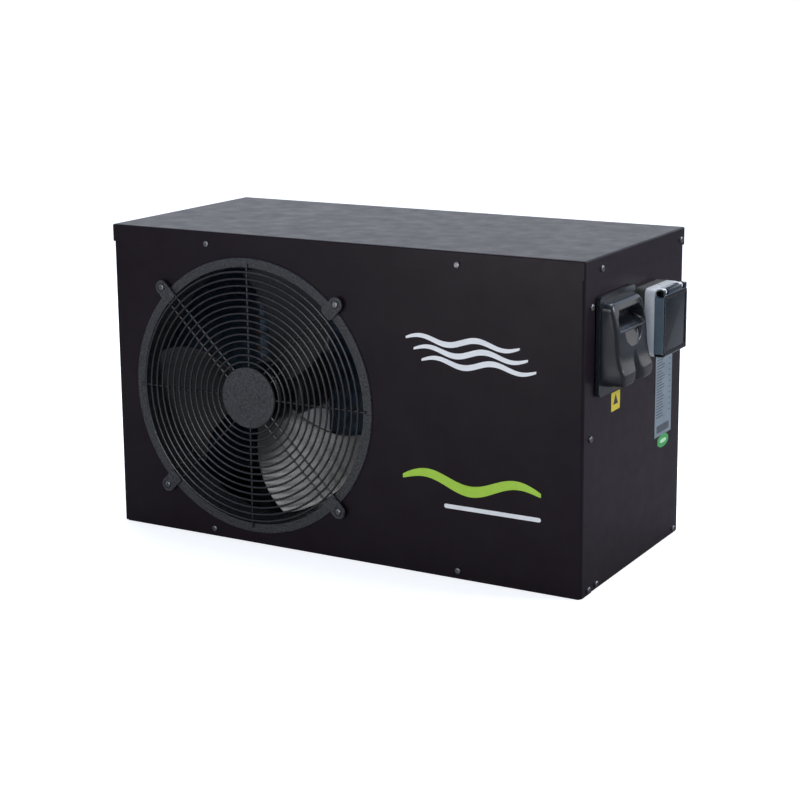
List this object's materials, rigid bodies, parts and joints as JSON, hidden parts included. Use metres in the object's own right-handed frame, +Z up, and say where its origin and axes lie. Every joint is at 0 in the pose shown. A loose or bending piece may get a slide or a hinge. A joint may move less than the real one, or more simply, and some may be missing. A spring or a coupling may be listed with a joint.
{
  "type": "pool heat pump",
  "caption": "Boxy outdoor pool heat pump: fan behind a round wire guard, coil behind, compressor bay, side service cover, lidded controller and rear water unions.",
  "frame": {"origin": "centre of the four floor bolt holes, on the underside of the base pan", "axes": "+X to the right seen from the front, -Y out of the fan guard, +Z up"},
  "size_m": [0.7949, 0.4077, 0.45],
  "materials": {
    "black_powder_coat": "satin powder coat",
    "galvanised_steel": "galvanised",
    "coated_wire": "gloss black coated wire",
    "wrinkle_black": "wrinkle finish",
    "screw_steel": "zinc plated",
    "fin_aluminium": "coated fins",
    "copper": "drawn copper",
    "fan_plastic": "moulded light grey",
    "motor_paint": "satin",
    "compressor_paint": "gloss black",
    "rubber": "matt",
    "valve_brass": "satin",
    "black_plastic": "fine moulded grain",
    "pvc_grey": "moulded",
    "titanium": "drawn tube",
    "circuit_green": "lacquered",
    "terminal_cream": "moulded",
    "base_grey": "moulded",
    "case_white": "moulded",
    "module_grey": "moulded",
    "display": "clear pane",
    "button_grey": "moulded",
    "smoked_lid": "smoked clear plastic",
    "plate_silver": "silver printed label",
    "label_yellow": "printed sticker"
  },
  "bodies": {
    "cabinet": {"base_pan": "black_powder_coat", "drain_bush": "rubber", "front_panel": "black_powder_coat", "right_side_panel": "black_powder_coat", "rear_panel": "black_powder_coat", "top_cover": "black_powder_coat", "partition_plate": "galvanised_steel", "rear_left_post": "black_powder_coat", "rear_coil_guard": "coated_wire", "left_coil_guard": "coated_wire", "evaporator_fins": "fin_aluminium", "evaporator_tubes": "copper", "evaporator_end_plates": "galvanised_steel", "fan_shroud": "wrinkle_black", "grille_rings": "coated_wire", "grille_spokes": "coated_wire", "grille_hub": "wrinkle_black", "grille_lugs": "wrinkle_black", "grille_screws": "screw_steel", "fan_motor": "motor_paint", "motor_bracket": "galvanised_steel", "compressor": "compressor_paint", "compressor_grommets": "rubber", "compressor_bolts": "screw_steel", "accumulator": "compressor_paint", "reversing_valve": "valve_brass", "valve_solenoid": "black_plastic", "discharge_pipe": "copper", "suction_pipe": "copper", "evaporator_pipe": "copper", "liquid_pipe": "copper", "filter_drier": "copper", "condenser_shell": "pvc_grey", "titanium_coil": "titanium", "union_tails": "pvc_grey", "union_nuts": "pvc_grey", "flow_switch": "pvc_grey", "cable_gland": "black_plastic", "electrical_box": "galvanised_steel", "circuit_board": "circuit_green", "terminal_block": "terminal_cream", "run_capacitor": "black_plastic", "contactor": "black_plastic", "service_cover": "black_plastic", "controller_base": "base_grey", "controller_case": "case_white", "controller_module": "module_grey", "display_window": "display", "lid_hinge_pin": "screw_steel", "cabinet_screws": "screw_steel", "rating_plate": "plate_silver", "side_labels": "label_yellow"},
    "fan": {"fan_impeller": "fan_plastic", "motor_shaft": "screw_steel", "fan_nut": "screw_steel"},
    "controller_lid": {"controller_lid": "smoked_lid"},
    "button_power": {"button_power": "button_grey"},
    "button_mode": {"button_mode": "button_grey"},
    "button_up": {"button_up": "button_grey"},
    "button_down": {"button_down": "button_grey"}
  },
  "joints": [
    {"name": "fan_spin", "type": "hinge", "parent": "cabinet", "child": "fan", "pos_m": [-0.139, -0.14, 0.217], "axis": [0, -1, 0], "continuous": true},
    {"name": "lid_hinge", "type": "hinge", "parent": "cabinet", "child": "controller_lid", "pos_m": [0.4078, 0.0405, 0.384], "axis": [0, -1, 0], "range_deg": [0, 110]},
    {"name": "button_power_press", "type": "slide", "parent": "cabinet", "child": "button_power", "axis": [-1, 0, 0], "range_m": [0, 0.0012], "stiffness_N_per_m": 400, "springref_m": -0.0005},
    {"name": "button_mode_press", "type": "slide", "parent": "cabinet", "child": "button_mode", "axis": [-1, 0, 0], "range_m": [0, 0.0012], "stiffness_N_per_m": 400, "springref_m": -0.0005},
    {"name": "button_up_press", "type": "slide", "parent": "cabinet", "child": "button_up", "axis": [-1, 0, 0], "range_m": [0, 0.0012], "stiffness_N_per_m": 400, "springref_m": -0.0005},
    {"name": "button_down_press", "type": "slide", "parent": "cabinet", "child": "button_down", "axis": [-1, 0, 0], "range_m": [0, 0.0012], "stiffness_N_per_m": 400, "springref_m": -0.0005}
  ]
}
